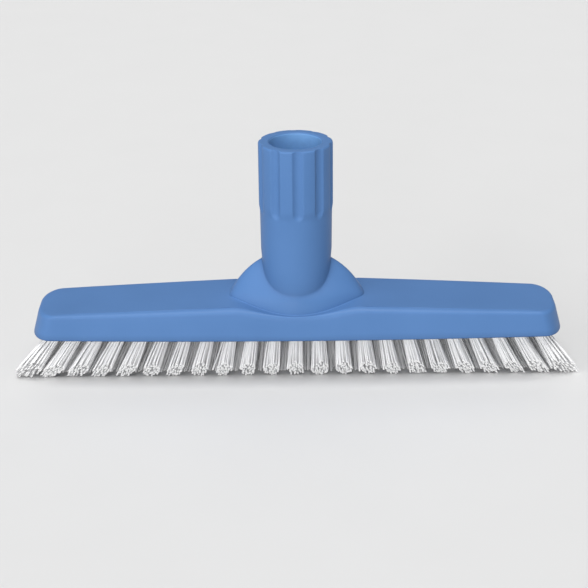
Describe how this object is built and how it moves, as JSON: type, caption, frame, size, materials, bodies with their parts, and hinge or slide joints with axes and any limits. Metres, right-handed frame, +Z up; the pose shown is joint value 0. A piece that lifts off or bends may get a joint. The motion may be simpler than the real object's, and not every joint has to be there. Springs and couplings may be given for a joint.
{
  "type": "grout brush",
  "caption": "Long narrow floor brush head for grout lines: tapered block, fluted handle socket on a pointed boss, and staggered V-trimmed bristle rows that fan out at both ends.",
  "frame": {"origin": "under the middle of the brush, on the surface that its bristle tips stand on", "axes": "+X along the block, +Y across it away from the front row, +Z up the handle socket"},
  "size_m": [0.2494, 0.039, 0.108],
  "materials": {
    "blue_plastic": "satin injection-moulded polypropylene, mid blue",
    "white_bristle": "stiff white polyester filament",
    "staple_wire": "galvanised flat anchor wire"
  },
  "bodies": {
    "root": {"moulded_head": "blue_plastic", "front_bristle_row": "white_bristle", "rear_bristle_row": "white_bristle", "staple_front_01": "staple_wire", "staple_front_02": "staple_wire", "staple_front_03": "staple_wire", "staple_front_04": "staple_wire", "staple_front_05": "staple_wire", "staple_front_06": "staple_wire", "staple_front_07": "staple_wire", "staple_front_08": "staple_wire", "staple_front_09": "staple_wire", "staple_front_10": "staple_wire", "staple_front_11": "staple_wire", "staple_front_12": "staple_wire", "staple_front_13": "staple_wire", "staple_front_14": "staple_wire", "staple_front_15": "staple_wire", "staple_front_16": "staple_wire", "staple_front_17": "staple_wire", "staple_front_18": "staple_wire", "staple_front_19": "staple_wire", "staple_front_20": "staple_wire", "staple_front_21": "staple_wire", "staple_front_22": "staple_wire", "staple_front_23": "staple_wire", "staple_rear_01": "staple_wire", "staple_rear_02": "staple_wire", "staple_rear_03": "staple_wire", "staple_rear_04": "staple_wire", "staple_rear_05": "staple_wire", "staple_rear_06": "staple_wire", "staple_rear_07": "staple_wire", "staple_rear_08": "staple_wire", "staple_rear_09": "staple_wire", "staple_rear_10": "staple_wire", "staple_rear_11": "staple_wire", "staple_rear_12": "staple_wire", "staple_rear_13": "staple_wire", "staple_rear_14": "staple_wire", "staple_rear_15": "staple_wire", "staple_rear_16": "staple_wire", "staple_rear_17": "staple_wire", "staple_rear_18": "staple_wire", "staple_rear_19": "staple_wire", "staple_rear_20": "staple_wire", "staple_rear_21": "staple_wire", "staple_rear_22": "staple_wire"}
  },
  "joints": []
}
